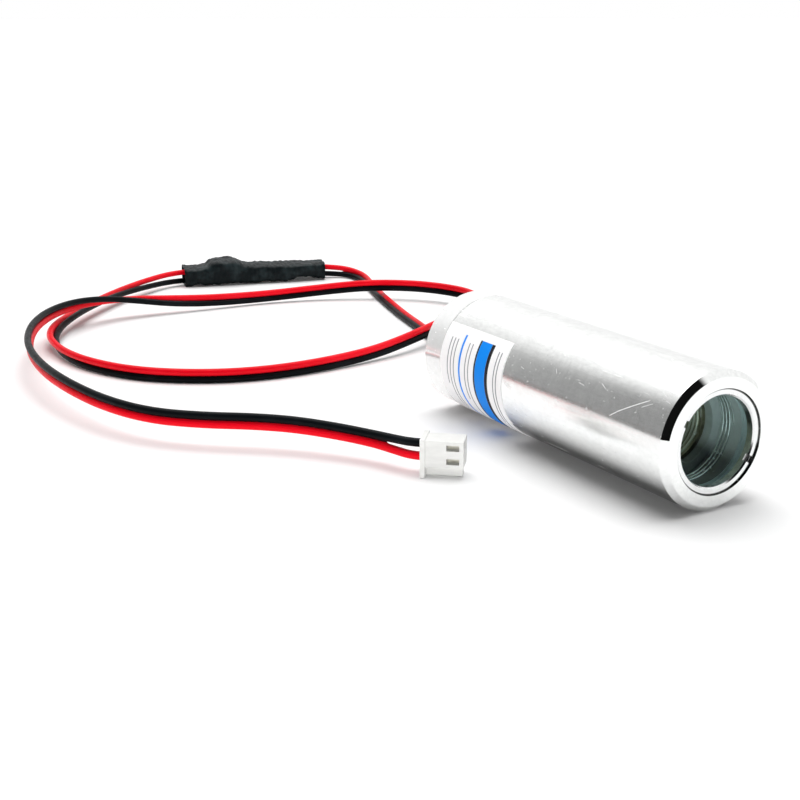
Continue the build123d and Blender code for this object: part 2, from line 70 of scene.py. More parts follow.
# Studio that reflections meet, by direction. Each ramp is from, to, value at from, value at to.
DARK_EDGE = (-0.74, 0.6, -0.39, 0.27)
DARK_EDGE_BEHIND = (-0.86, -0.78, -0.14, 0.0)
DARK_SOFTNESS = (-0.7, 0.5, 0.13, 0.09)
DARK_LEVEL = (-0.8, 0.2, 0.29, 0.006)
DARK_BELOW = (-0.05, 0.0, 0.22, 1.0)
STREAK_Y = 0.06
STREAK_LEVEL = (0.0, 0.045, 0.88, 1.0)
STREAK_END = (-0.6, -0.3, 0.0, 1.0)
SURROUND_DIFFUSE = 0.7

# Barrel and the pieces on its axis, read from the parts in model.glb, where the model holds them
BARREL_LOW, BARREL_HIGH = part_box("housing_tube")
FRONT_X = BARREL_HIGH.x
AXIS_Z = (BARREL_LOW.z + BARREL_HIGH.z) / 2
BARREL_RADIUS = AXIS_Z - BARREL_LOW.z
FRONT_CHAMFER = 1.0 * MM
LENS_CLEAR_RADIUS = 8.4 * MM
WINDOW_CLEAR_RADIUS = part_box("diode_window")[1].z - AXIS_Z
RING_SEAM_RADIUS = 8.82 * MM
LABEL_FRONT_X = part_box("label")[1].x
LABEL_START_ANGLE = 49.0

# Threads in the walls behind the lens, in millimetres and turns, with the depth from the front face
BORE_THREAD = {"depth": 5.9, "radius": 8.4, "pitch": 0.8, "turns": 3.4, "height": 0.28}
CARRIER_THREAD = {"depth": 11.6, "radius": 6.4, "pitch": 0.75, "turns": 20.0, "height": 0.3}
THREAD_STEPS = 96
THREAD_SEAT = 0.02
THREAD_HALF_WIDTH = 0.42
THREAD_RUNOUTS_PER_TURN = 8

# Rounded edges
EDGE_SEGMENTS = 3
EDGE_ANGLE = 40

# Leads: wire and pair in millimetres, lengths and exits in metres
WIRE_DIAMETER = 1.6
PAIR_PITCH = 1.68
BOND_REACH = 1.95
WEB_SHARE = 0.4
WIRE_SIDES = 24
SPLINE_ORDER = 3
SPLINE_STEPS = 10
OUTPUT_EXITS = ((-0.0365, 0.00084, 0.012), (-0.0365, -0.00084, 0.012))

# Lead routes in millimetres: x, y, z, lean of the red wire about the route (0 up, 90 left of travel),
# and how much further apart than the pair's own pitch the two wires stand there
POWER_ROUTE = (
    (-2.61, -30.47, 4.4, 180, 0.82), (-5.0, -33.3, 4.4, 180, 0.8), (-8.6, -34.7, 4.4, 180, 0.45),
    (-13.2, -36.6, 4.5, 180, 0.05), (-19.2, -40.7, 4.9, 180, 0), (-26.0, -46.4, 5.3, 180, 0),
    (-31.6, -52.8, 5.4, 180, 0), (-36.9, -60.0, 5.3, 180, 0), (-44.5, -67.7, 5.3, 180, 0),
    (-55.4, -73.0, 5.6, 180, 0), (-69.8, -76.2, 6.0, 180, 0), (-85.2, -77.3, 6.2, 185, 0),
    (-100.4, -76.2, 6.4, 190, 0), (-113.0, -73.3, 6.5, 195, 0), (-125.5, -68.6, 6.6, 190, 0),
    (-136.8, -61.7, 6.6, 180, 0), (-145.0, -53.0, 6.4, 155, 0.1), (-149.5, -43.5, 5.7, 120, 0.2),
    (-150.4, -34.5, 4.6, 80, 0.2), (-149.4, -24.5, 3.3, 40, 0.2), (-148.6, -13.0, 2.4, 15, 0.1),
    (-148.0, 3.3, 2.0, 0, 0), (-144.5, 18.5, 2.9, 0, 0), (-139.0, 30.0, 4.0, 0, 0),
    (-132.3, 40.0, 4.1, 0, 0), (-124.5, 46.5, 3.9, 0, 0), (-115.5, 49.5, 3.8, 0, 0),
    (-106.0, 47.5, 3.9, 0, 0), (-97.5, 39.0, 4.0, 0, 0), (-88.5, 26.5, 4.1, 0, 0),
    (-80.2, 11.2, 3.4, 0, 0), (-76.2, -2.5, 2.0, 0, 0), (-73.8, -18.0, 1.68, 0, 0),
    (-74.0, -32.0, 1.66, 0, 0), (-78.2, -44.2, 1.66, 0, 0), (-87.0, -55.4, 1.66, 0, 0),
    (-99.0, -62.2, 1.7, 5, 0), (-111.5, -65.3, 1.9, 20, 0.1), (-124.5, -64.9, 2.4, 45, 0.1),
    (-134.8, -61.4, 2.9, 70, 0.1), (-145.0, -54.8, 3.1, 85, 0.1), (-155.5, -46.5, 3.1, 90, 0.1),
    (-167.5, -35.5, 3.0, 80, 0.2), (-178.0, -23.0, 2.8, 50, 0.4), (-185.5, -9.9, 2.7, 0, 0.96),
    (-183.2, -1.2, 2.7, 0, 0.96),
)
OUTPUT_ROUTE = (
    (-36.5, 0.0, 12.0, -90, 0), (-43.0, 0.0, 12.0, -90, 0), (-50.0, 2.2, 10.4, -90, 0),
    (-58.0, 7.2, 7.4, -90, 0), (-67.0, 12.6, 4.1, -90, 0), (-77.0, 17.4, 1.8, -90, 0),
    (-88.0, 21.2, 0.95, -90, 0), (-100.0, 24.2, 0.86, -90, 0), (-112.3, 26.9, 0.86, -90, 0),
    (-126.2, 30.6, 0.86, -90, 0), (-141.0, 34.9, 0.86, -90, 0), (-154.0, 39.2, 0.86, -90, 0.1),
    (-163.5, 41.8, 1.3, -65, 0.3), (-170.6, 40.0, 1.85, -30, 0.35), (-173.9, 33.5, 2.35, 0, 0.4),
    (-175.17, 28.71, 2.7, 0, 0.96), (-176.07, 25.33, 2.7, 0, 0.96),
)

# Shrink sleeve in millimetres: stations are distance from the left end, width, top and underside
SLEEVE_PLACE = (-185.0, -8.0)
SLEEVE_ANGLE = 75.0
SLEEVE_WALL = 0.4
SLEEVE_STATIONS = (
    (0.0, 10.0, 5.7, 0.0), (1.6, 10.2, 5.5, 0.0), (4.5, 10.4, 5.4, 0.5), (6.6, 10.8, 5.8, 0.0),
    (8.6, 10.9, 7.1, 0.0), (10.2, 11.0, 7.4, 0.0), (14.6, 11.0, 7.4, 0.3), (16.2, 10.9, 7.0, 0.2),
    (18.2, 10.7, 5.9, 0.1), (22.0, 10.6, 5.5, 0.0), (24.5, 10.5, 5.4, 0.5), (27.5, 10.5, 5.4, 0.0),
    (30.0, 10.4, 5.4, 0.1), (33.0, 10.2, 5.3, 0.5), (35.0, 9.9, 5.3, 1.3), (37.5, 9.5, 5.2, 1.1),
    (40.0, 9.0, 5.2, 0.6), (43.0, 8.8, 5.3, 0.1),
)
SLEEVE_STEP = 0.25
SLEEVE_SIDES = 96
SLEEVE_SQUARENESS = 4.5
SLEEVE_FLOOR_GAP = 0.02
LUMPS = {"height": 0.30, "scale": (0.34, 0.42, 0.42), "shift": (0, 0, 7)}
WRINKLES = {"height": 0.24, "scale": (1.1, 0.55, 0.55), "shift": (0, 3, 0)}

# Finishes: GRAIN is a noise's scale per metre along x, y and z, CUT is the stretch of a noise that makes
# a mark, and RELIEF is the height of a bump. Other ramps take the middle span of a noise.
NOISE_SPAN = (0.3, 0.7)

# Turned metal
RING_GRAIN = (5200, 50, 50)
DRAWN_GRAIN = (60, 1900, 1900)
PATCH_GRAIN = (170, 170, 170)
MOTTLE_GRAIN = (760, 1100, 1100)
SPECK_GRAIN = (1500, 1500, 1500)
NICK_GRAIN = (90, 2600, 260)
NICK_TURN = (20, 0, 35)
NICK_CUT = (0.66, 0.72)
NICK_PATCH_CUT = (0.48, 0.6)
SPECK_CUT = (0.68, 0.74)
SPECK_STRENGTH = 0.6
PATCH_SHADE = 0.96
MOTTLE_SHADE = 0.92
DRAWN_SHADE = 0.965
RING_ROUGHNESS = (0.9, 1.12)
MOTTLE_HEIGHT = 3.0
MARK_LEVEL = 0.95
MARK_METAL = 0.1
MARK_ROUGHNESS = 0.3
TURNED_RELIEF = 0.0004 * MM
POLISHED_RELIEF = 0.0003 * MM
HIGHLIGHT_TURN = 0.25
# Painted shade in the gap round the front ring: the soft edge at the seam's radius, and how dark it goes
SEAM_EDGE = 0.06 * MM
PAINTED_SEAM_SHADE = 0.1

# Barrel's own finish: polished chamfer and pale dull bore, and painted shade on the underside where it rests
# on the floor
CHAMFER_EDGE = 0.04 * MM
CHAMFER_ROUGHNESS = 0.035
BORE_DULL_RADIUS = 9.2 * MM
BORE_EDGE = 0.1 * MM
BORE_SHADE = 0.95
BORE_METAL = 0.1
BORE_ROUGHNESS = 0.3
# Painted shade: the barrel's underside is darkened past these angles from the top, where it lies on the floor
PAINTED_UNDERSIDE_ANGLES = (112.0, 135.0)
PAINTED_UNDERSIDE_SHADE = 0.3

# Scratches on the barrel: from and to, each as depth from the front face in millimetres and angle in degrees,
# and half the width in millimetres
SCRATCHES = (
    (13.96, 77.2, 12.4, 72.2, 0.10), (12.7, 72.8, 6.0, 53.8, 0.10), (7.4, 62.0, 5.3, 56.0, 0.05),
    (18.5, 55.0, 16.9, 58.5, 0.06), (24.0, 61.0, 22.2, 62.0, 0.05), (5.0, 44.0, 3.4, 47.5, 0.05),
    (31.0, 57.0, 30.2, 61.0, 0.05), (40.5, 66.0, 39.2, 67.5, 0.06),
)
SCRATCH_CORE = 0.5
SCRATCH_FULL_LENGTH = 0.4

# Brass and gold plate
BRASS_GRAIN = (4200, 70, 70)
STAIN_GRAIN = (240, 240, 240)
STAIN_CUT = (0.35, 0.7)
STAIN_SHADE = 0.72
BRASS_ROUGHNESS = (0.8, 1.3)
BRASS_RELIEF = 0.004 * MM

# Glass
DUST_GRAIN = (2600, 2600, 2600)
DUST_CUT = (0.74, 0.79)
DUST_ROUGHNESS = 0.12
CLOUD_GRAIN = (180, 180, 180)
CLOUD_LIFT = 1.06
GLASS_IOR = 1.03
GROUND_EDGE = (0.04 * MM, 0.01 * MM)
GROUND_CLEARNESS = 0.1
GROUND_ROUGHNESS = 0.5

# Insulation
VINYL_GRAIN = (900, 900, 900)
SMEAR_GRAIN = (120, 120, 120)
SMEAR_CUT = (0.42, 0.75)
VINYL_ROUGHNESS = (0.32, 0.46)
VINYL_RELIEF = 0.02 * MM
VINYL_RELIEF_STRENGTH = 0.6

# Shrink tubing
TUBING_GRAIN = (2600, 2600, 2600)
TUBING_GRAIN_HEIGHT = 0.35
TUBING_FOLD_GRAIN = (420, 420, 300)
TUBING_DUST_GRAIN = (260, 260, 260)
TUBING_DUST_CUT = (0.45, 0.75)
TUBING_BLACK = (0.003, 0.006, 0.007)
TUBING_DUSTY = (0.018, 0.028, 0.030)
TUBING_ROUGHNESS = (0.42, 0.62)
TUBING_SHEEN = 0.14
TUBING_RELIEF = 0.10 * MM
TUBING_RELIEF_STRENGTH = 0.8

# Moulded and stamped pieces
MOULD_GRAIN = (3800, 3800, 3800)
FLOW_GRAIN = (300, 300, 900)
FLOW_CUT = (0.35, 0.7)
FLOW_SHADE = 0.93
MOULD_ROUGHNESS = (0.85, 1.2)
MOULD_IOR = 1.5
MOULD_RELIEF = 0.006 * MM

# Circuit board
WEAVE_GRAIN = (2200, 2200, 2200)
TRACK_GRAIN = (420, 420, 420)
TRACK_CUT = (0.49, 0.51)
BOARD_DARK = (0.02, 0.16, 0.07)
BOARD_LIGHT = (0.03, 0.24, 0.11)
BOARD_ROUGHNESS = (0.25, 0.4)
TRACK_RELIEF = 0.03 * MM

# Sticker's paper
PAPER_GRAIN = (1800, 1800, 1800)
PAPER_DARK = (0.955, 0.96, 0.965)
PAPER_LIGHT = (0.975, 0.975, 0.975)
PAPER_ROUGHNESS = (0.42, 0.54)
PAPER_SHEEN = 0.12
PAPER_RELIEF = 0.006 * MM

# Print on the sticker: from and to depth in millimetres, from and to angle in degrees past its upper edge,
# and ink
PRINT_BLACK = (0.012, 0.012, 0.016)
PRINT_BLUE = (0.0, 0.25, 0.88)
PRINT_GREY = (0.25, 0.26, 0.28)
PRINT_FIELDS = (
    (1.6, 1.9, 12, 96, PRINT_GREY), (2.5, 2.8, 12, 84, PRINT_GREY), (4.6, 5.6, 8, 104, PRINT_BLACK),
    (5.6, 9.0, 8, 104, PRINT_BLUE), (9.0, 9.5, 8, 104, PRINT_BLACK), (11.2, 11.5, 14, 92, PRINT_GREY),
    (12.3, 12.6, 14, 70, PRINT_GREY), (14.2, 14.8, 8, 104, PRINT_BLUE), (16.4, 16.7, 14, 88, PRINT_GREY),
    (17.5, 17.8, 14, 96, PRINT_GREY), (18.6, 18.9, 14, 60, PRINT_GREY),
)
PRINT_EDGE_DEPTH = 0.05
PRINT_EDGE_ANGLE = 0.3


class Nodes:
    """A node tree, with short calls for the nodes that the materials and the world share."""

    def __init__(self, tree):
        self.tree = tree

    def put(self, socket, value):
        """Links a socket to another one, or sets its own value."""
        if isinstance(value, bpy.types.NodeSocket):
            self.tree.links.new(value, socket)
        else:
            socket.default_value = value

    def node(self, kind, inputs=None, **settings):
        """A new node, with its inputs and settings."""
        made = self.tree.nodes.new("ShaderNode" + kind)
        for name, value in settings.items():
            setattr(made, name, value)
        for name, value in (inputs or {}).items():
            self.put(made.inputs[name], value)
        return made

    def ramp(self, value, low, high, to_low=0.0, to_high=1.0, smooth=True):
        """Carries a value from one range to another, and holds it at the ends."""
        values = {"Value": value, "From Min": low, "From Max": high, "To Min": to_low, "To Max": to_high}
        kind = "SMOOTHSTEP" if smooth else "LINEAR"
        return self.node("MapRange", values, interpolation_type=kind).outputs["Result"]

    def math(self, operation, a, b=0.0):
        return self.node("Math", {0: a, 1: b}, operation=operation).outputs[0]

    def blend(self, factor, a, b):
        """Mixes two values, by the mix node's value sockets."""
        return self.node("Mix", {0: factor, 2: a, 3: b}, data_type="FLOAT").outputs[0]

    def light_path(self):
        return self.node("LightPath").outputs


class Paint(Nodes):
    """A material in the object's own coordinates."""

    def __init__(self, name):
        self.material = bpy.data.materials.new(name)
        self.material.use_nodes = True
        super().__init__(self.material.node_tree)
        self.shader = self.tree.nodes["Principled BSDF"]
        self.coordinates = self.node("TexCoord").outputs["Object"]

    def set(self, **inputs):
        """Sets the shader's own inputs, named with underscores."""
        for name, value in inputs.items():
            self.put(self.shader.inputs[name.replace("_", " ")], value)

    def axes(self):
        return self.node("SeparateXYZ", {0: self.coordinates}).outputs

    def noise(self, grain, detail, roughness=0.55, turn=(0, 0, 0)):
        """Noise with a scale per metre along x, y and z, turned by degrees about each."""
        angles = tuple(math.radians(a) for a in turn)
        placed = self.node("Mapping", {"Vector": self.coordinates, "Scale": grain, "Rotation": angles})
        values = {"Vector": placed.outputs["Vector"], "Scale": 1.0, "Detail": detail, "Roughness": roughness}
        return self.node("TexNoise", values).outputs["Fac"]

    def mix(self, factor, a, b):
        """Mixes two colours, by the mix node's colour sockets."""
        return self.node("Mix", {0: factor, 6: a, 7: b}, data_type="RGBA").outputs[2]

    def bump(self, height, distance, strength=1.0):
        values = {"Height": height, "Distance": distance, "Strength": strength}
        return self.node("Bump", values).outputs["Normal"]


def opaque(colour):
    return (*colour, 1)


def grey(value):
    return (value, value, value, 1)


def shaded(colour, share):
    """A colour with a share of its light, and no part over full."""
    return opaque(min(1.0, c * share) for c in colour)


def shares(value, pair):
    """Two shares of a value, for the ends of a ramp."""
    return tuple(value * share for share in pair)


def barrel_angle(paint):
    """Angle from the top of the barrel towards -Y, in degrees, at the shaded point."""
    _, y, z = paint.axes()
    up = paint.math("SUBTRACT", z, AXIS_Z)
    across = paint.math("MULTIPLY", y, -1.0)
    return paint.math("DEGREES", paint.math("ARCTAN2", across, up))


def barrel_radius(paint):
    """Distance of the shaded point from the barrel's axis."""
    _, y, z = paint.axes()
    up = paint.math("SUBTRACT", z, AXIS_Z)
    return paint.math("SQRT", paint.math("ADD", paint.math("MULTIPLY", y, y), paint.math("MULTIPLY", up, up)))


def depth_behind(paint, front_x):
    """Depth of the shaded point behind a place along the barrel, in millimetres."""
    return paint.math("MULTIPLY", paint.math("SUBTRACT", front_x, paint.axes()[0]), 1 / MM)


def scratch_marks(paint):
    """The barrel's straight scratches, as a mask."""
    arc_per_degree = math.radians(BARREL_RADIUS / MM)
    depth = depth_behind(paint, FRONT_X)
    arc = paint.math("MULTIPLY", barrel_angle(paint), arc_per_degree)
    marks = 0.0
    for from_depth, from_angle, to_depth, to_angle, half in SCRATCHES:
        run = Vector((to_depth - from_depth, (to_angle - from_angle) * arc_per_degree))
        way = run.normalized()
        a = paint.math("SUBTRACT", depth, from_depth)
        b = paint.math("SUBTRACT", arc, from_angle * arc_per_degree)
        along = paint.math("ADD", paint.math("MULTIPLY", a, way.x), paint.math("MULTIPLY", b, way.y))
        aside = paint.math("SUBTRACT", paint.math("MULTIPLY", a, way.y), paint.math("MULTIPLY", b, way.x))
        line = paint.ramp(paint.math("ABSOLUTE", aside), half * SCRATCH_CORE, half, 1.0, 0.0)
        middle = paint.math("ABSOLUTE", paint.math("SUBTRACT", along, run.length / 2))
        ends = paint.ramp(middle, run.length * SCRATCH_FULL_LENGTH, run.length / 2, 1.0, 0.0)
        marks = paint.math("MAXIMUM", marks, paint.math("MULTIPLY", line, ends))
    return marks


def turned_metal(name, colour, rough, relief=TURNED_RELIEF, spread=0.0, metal=1.0, seam=None, barrel=False):
    """Turned metal: fine rings round the barrel's axis, mottling, specks and nicks.

    Spread draws its highlights out round the axis, and metal is how far it mirrors. Outside a seam's radius it
    is painted dark, as shade in the gap round it. The barrel also has a polished chamfer, a pale dull bore,
    painted shade on its underside where it rests on the floor, and long scratches.
    """
    paint = Paint(name)
    rings = paint.noise(RING_GRAIN, detail=4.0)
    drawn = paint.noise(DRAWN_GRAIN, detail=4.0)
    patches = paint.noise(PATCH_GRAIN, detail=4.0)
    mottle = paint.noise(MOTTLE_GRAIN, detail=6.0, roughness=0.7)
    specks = paint.ramp(paint.noise(SPECK_GRAIN, detail=2.0), *SPECK_CUT)
    nicks = paint.ramp(paint.noise(NICK_GRAIN, detail=2.0, turn=NICK_TURN), *NICK_CUT)
    marks = paint.math("MULTIPLY", nicks, paint.ramp(patches, *NICK_PATCH_CUT))
    marks = paint.math("MAXIMUM", marks, paint.math("MULTIPLY", specks, SPECK_STRENGTH))
    shade = paint.ramp(patches, *NOISE_SPAN, PATCH_SHADE)
    shade = paint.math("MULTIPLY", shade, paint.ramp(mottle, *NOISE_SPAN, MOTTLE_SHADE))
    shade = paint.math("MULTIPLY", shade, paint.ramp(drawn, *NOISE_SPAN, DRAWN_SHADE))
    roughness = paint.ramp(rings, *NOISE_SPAN, *shares(rough, RING_ROUGHNESS))
    height = paint.math("ADD", rings, paint.math("MULTIPLY", mottle, MOTTLE_HEIGHT))
    radius = barrel_radius(paint)
    if seam is not None:
        # Painted shade: outside the seam's radius the ring goes dark, standing in for shade in the gap between
        # ring and barrel
        dark = paint.ramp(radius, seam - SEAM_EDGE, seam + SEAM_EDGE, 1.0, PAINTED_SEAM_SHADE)
        shade = paint.math("MULTIPLY", shade, dark)
    if barrel:
        chamfer = FRONT_X - FRONT_CHAMFER
        polish = paint.ramp(paint.axes()[0], chamfer - CHAMFER_EDGE, chamfer + CHAMFER_EDGE)
        plain = paint.math("SUBTRACT", 1.0, polish)
        marks = paint.math("MAXIMUM", marks, scratch_marks(paint))
        inner = paint.ramp(radius, BORE_DULL_RADIUS, BORE_DULL_RADIUS + BORE_EDGE, 1.0, 0.0)
        bore = paint.math("MULTIPLY", inner, plain)
        # Painted shade: darkens the barrel's underside, where it rests on the floor
        turn = paint.math("ABSOLUTE", barrel_angle(paint))
        under = paint.math("MULTIPLY", paint.ramp(turn, *PAINTED_UNDERSIDE_ANGLES), plain)
        shade = paint.math("MULTIPLY", shade, paint.blend(bore, 1.0, BORE_SHADE))
        shade = paint.math("MULTIPLY", shade, paint.blend(under, 1.0, PAINTED_UNDERSIDE_SHADE))
        roughness = paint.blend(polish, paint.blend(bore, roughness, BORE_ROUGHNESS), CHAMFER_ROUGHNESS)
        height = paint.math("MULTIPLY", height, plain)
        marks = paint.math("MULTIPLY", marks, plain)
        metal = paint.math("MULTIPLY", metal, paint.blend(bore, 1.0, BORE_METAL))
    tint = paint.mix(shade, grey(0.0), opaque(colour))
    metal = paint.math("MULTIPLY", metal, paint.ramp(marks, 0.0, 1.0, 1.0, MARK_METAL, smooth=False))
    paint.set(Base_Color=paint.mix(marks, tint, grey(MARK_LEVEL)), Metallic=metal)
    paint.set(Roughness=paint.math("ADD", roughness, paint.math("MULTIPLY", marks, MARK_ROUGHNESS)))
    paint.set(Anisotropic=spread, Anisotropic_Rotation=HIGHLIGHT_TURN, Normal=paint.bump(height, relief))
    paint.set(Tangent=paint.node("Tangent", direction_type="RADIAL", axis="X").outputs[0])
    return paint.material


def machined_brass(name, colour, rough):
    """Machined or plated brass: fine rings and stains."""
    paint = Paint(name)
    rings = paint.noise(BRASS_GRAIN, detail=3.0)
    stain = paint.ramp(paint.noise(STAIN_GRAIN, detail=4.0), *STAIN_CUT)
    paint.set(Base_Color=paint.mix(stain, opaque(colour), shaded(colour, STAIN_SHADE)), Metallic=1.0)
    paint.set(Roughness=paint.ramp(rings, *NOISE_SPAN, *shares(rough, BRASS_ROUGHNESS)))
    paint.set(Normal=paint.bump(rings, BRASS_RELIEF))
    return paint.material


def coated_glass(name, tint, clear_radius):
    """Clear glass with a faint teal coating, a little dust and a ground rim outside its clear radius."""
    paint = Paint(name)
    dust = paint.ramp(paint.noise(DUST_GRAIN, detail=2.0), *DUST_CUT)
    cloud = paint.noise(CLOUD_GRAIN, detail=2.0)
    ground = paint.ramp(barrel_radius(paint), *(clear_radius - edge for edge in GROUND_EDGE))
    dusty = paint.math("MULTIPLY", dust, DUST_ROUGHNESS)
    frosted = paint.math("MULTIPLY", ground, GROUND_ROUGHNESS)
    paint.set(Base_Color=paint.mix(cloud, opaque(tint), shaded(tint, CLOUD_LIFT)), IOR=GLASS_IOR)
    paint.set(Transmission_Weight=paint.ramp(ground, 0.0, 1.0, 1.0, GROUND_CLEARNESS, smooth=False))
    paint.set(Roughness=paint.math("MAXIMUM", dusty, frosted))
    return paint.material


def insulation(name, colour, pale, sheen):
    """Soft vinyl: a satin skin with handling marks and slight unevenness."""
    paint = Paint(name)
    grain = paint.noise(VINYL_GRAIN, detail=4.0)
    smear = paint.noise(SMEAR_GRAIN, detail=3.0)
    paint.set(Base_Color=paint.mix(paint.ramp(smear, *SMEAR_CUT), opaque(colour), opaque(pale)))
    paint.set(Roughness=paint.ramp(grain, *NOISE_SPAN, *VINYL_ROUGHNESS), Specular_IOR_Level=sheen)
    paint.set(Normal=paint.bump(paint.math("ADD", grain, smear), VINYL_RELIEF, VINYL_RELIEF_STRENGTH))
    return paint.material


def shrink_tubing(name):
    """Black polyolefin tubing: fine leathery grain, soft wrinkles and dusty high spots."""
    paint = Paint(name)
    grain = paint.noise(TUBING_GRAIN, detail=5.0, roughness=0.65)
    folds = paint.noise(TUBING_FOLD_GRAIN, detail=4.0)
    dust = paint.ramp(paint.noise(TUBING_DUST_GRAIN, detail=5.0), *TUBING_DUST_CUT)
    height = paint.math("ADD", paint.math("MULTIPLY", grain, TUBING_GRAIN_HEIGHT), folds)
    paint.set(Base_Color=paint.mix(dust, opaque(TUBING_BLACK), opaque(TUBING_DUSTY)))
    paint.set(Roughness=paint.ramp(grain, *NOISE_SPAN, *TUBING_ROUGHNESS), Specular_IOR_Level=TUBING_SHEEN)
    paint.set(Normal=paint.bump(height, TUBING_RELIEF, TUBING_RELIEF_STRENGTH))
    return paint.material


def moulded(name, colour, rough, metal=0.0):
    """A moulded or stamped surface: a fine even texture and faint flow marks."""
    paint = Paint(name)
    grain = paint.noise(MOULD_GRAIN, detail=3.0)
    flow = paint.ramp(paint.noise(FLOW_GRAIN, detail=3.0), *FLOW_CUT)
    paint.set(Base_Color=paint.mix(flow, opaque(colour), shaded(colour, FLOW_SHADE)))
    paint.set(Roughness=paint.ramp(grain, *NOISE_SPAN, *shares(rough, MOULD_ROUGHNESS)), IOR=MOULD_IOR)
    paint.set(Normal=paint.bump(grain, MOULD_RELIEF), Metallic=metal)
    return paint.material


def sticker(name):
    """White sticker printed with plain fields: a blue band between black bars, a blue line and grey rules."""
    paint = Paint(name)
    depth = depth_behind(paint, LABEL_FRONT_X)
    arc = paint.math("SUBTRACT", barrel_angle(paint), LABEL_START_ANGLE)

    def band(value, low, high, edge):
        rise = paint.ramp(value, low - edge, low + edge)
        fall = paint.ramp(value, high - edge, high + edge)
        return paint.math("MULTIPLY", rise, paint.math("SUBTRACT", 1.0, fall))

    paper = paint.noise(PAPER_GRAIN, detail=4.0)
    colour = paint.mix(paint.ramp(paper, *NOISE_SPAN), opaque(PAPER_DARK), opaque(PAPER_LIGHT))
    for from_depth, to_depth, from_arc, to_arc, ink in PRINT_FIELDS:
        along = band(depth, from_depth, to_depth, PRINT_EDGE_DEPTH)
        around = band(arc, from_arc, to_arc, PRINT_EDGE_ANGLE)
        colour = paint.mix(paint.math("MULTIPLY", along, around), colour, opaque(ink))
    paint.set(Base_Color=colour, Normal=paint.bump(paper, PAPER_RELIEF))
    paint.set(Roughness=paint.ramp(paper, *NOISE_SPAN, *PAPER_ROUGHNESS), Specular_IOR_Level=PAPER_SHEEN)
    return paint.material


def circuit_board(name):
    """Green lacquered board with its tracks showing through."""
    paint = Paint(name)
    weave = paint.noise(WEAVE_GRAIN, detail=2.0)
    tracks = paint.noise(TRACK_GRAIN, detail=0.0)
    paint.set(Base_Color=paint.mix(paint.ramp(tracks, *TRACK_CUT), opaque(BOARD_DARK), opaque(BOARD_LIGHT)))
    paint.set(Roughness=paint.ramp(weave, *NOISE_SPAN, *BOARD_ROUGHNESS))
    paint.set(Normal=paint.bump(tracks, TRACK_RELIEF))
    return paint.material


def floor_paint(name):
    """Matt white with a faint speckle, lifted a little where it is seen."""
    paint = Paint(name)
    speckle = paint.noise(FLOOR_GRAIN, detail=2.0)
    paint.set(Base_Color=paint.mix(speckle, shaded(FLOOR_COLOUR, FLOOR_GRAIN_SHADE), opaque(FLOOR_COLOUR)))
    paint.set(Roughness=FLOOR_ROUGHNESS, Specular_IOR_Level=FLOOR_SHEEN)
    path = paint.light_path()
    seen = paint.math("MAXIMUM", path["Is Camera Ray"], path["Is Glossy Ray"])
    seen = paint.math("MAXIMUM", seen, path["Is Transmission Ray"])
    paint.set(Emission_Color=grey(1.0), Emission_Strength=paint.math("MULTIPLY", seen, FLOOR_GLOW))
    return paint.material


def stage():
    """Camera, white floor, lamps and surround."""
    scene = bpy.context.scene
    scene.view_settings.view_transform = "Standard"
    camera = bpy.data.objects.new("camera", bpy.data.cameras.new("camera"))
    camera.location = CAMERA_PLACE
    camera.rotation_euler = (math.radians(90 - CAMERA_ELEVATION), 0, math.radians(CAMERA_AZIMUTH))
    camera.data.lens = CAMERA_LENS_MM
    camera.data.shift_x = CAMERA_SHIFT
    camera.data.clip_start = CAMERA_NEAR
    camera.data.clip_end = CAMERA_FAR
    scene.collection.objects.link(camera)
    scene.camera = camera

    bpy.ops.mesh.primitive_plane_add(size=FLOOR_SIZE, location=(0, FLOOR_EDGE_Y + FLOOR_SIZE / 2, 0))
    floor = bpy.context.object
    floor.name = "floor"
    floor.data.materials.append(floor_paint("floor_white"))

    for values in LAMPS:
        lamp = bpy.data.objects.new(values["name"], bpy.data.lights.new(values["name"], "SUN"))
        lamp.data.energy = values["strength"]
        lamp.data.angle = math.radians(values["angle"])
        lamp.rotation_euler = Vector(values["travel"]).to_track_quat("-Z", "Y").to_euler()
        lamp.visible_glossy = values["shows_in_metal"]
        lamp.visible_transmission = False
        scene.collection.objects.link(lamp)
    surround(scene)


def surround(scene):
    """A white surround for the camera. Other rays meet a studio that is dark low down on the -Y side."""
    world = bpy.data.worlds.new("studio")
    scene.world = world
    world.use_nodes = True
    world.node_tree.nodes.clear()
    sky = Nodes(world.node_tree)
    x, y, z = sky.node("SeparateXYZ", {0: sky.node("TexCoord").outputs["Generated"]}).outputs
    edge = sky.math("ADD", sky.ramp(x, *DARK_EDGE_BEHIND), sky.ramp(x, *DARK_EDGE))
    within = sky.math("DIVIDE", sky.math("SUBTRACT", edge, y), sky.ramp(x, *DARK_SOFTNESS))
    dark = sky.math("MULTIPLY", sky.ramp(x, *DARK_LEVEL), sky.ramp(z, *DARK_BELOW))
    streak = sky.ramp(sky.math("ABSOLUTE", sky.math("SUBTRACT", y, STREAK_Y)), *STREAK_LEVEL)
    bright = sky.math("MAXIMUM", streak, sky.ramp(x, *STREAK_END))
    level = sky.blend(sky.ramp(within, -1.0, 1.0), bright, dark)
    path = sky.light_path()
    seen = sky.math("MAXIMUM", path["Is Glossy Ray"], path["Is Transmission Ray"])
    level = sky.math("MULTIPLY", level, sky.ramp(seen, 0.0, 1.0, SURROUND_DIFFUSE))
    strength = sky.math("MAXIMUM", level, path["Is Camera Ray"])
    background = sky.node("Background", {"Color": grey(1.0), "Strength": strength})
    sky.node("OutputWorld", {"Surface": background.outputs[0]})


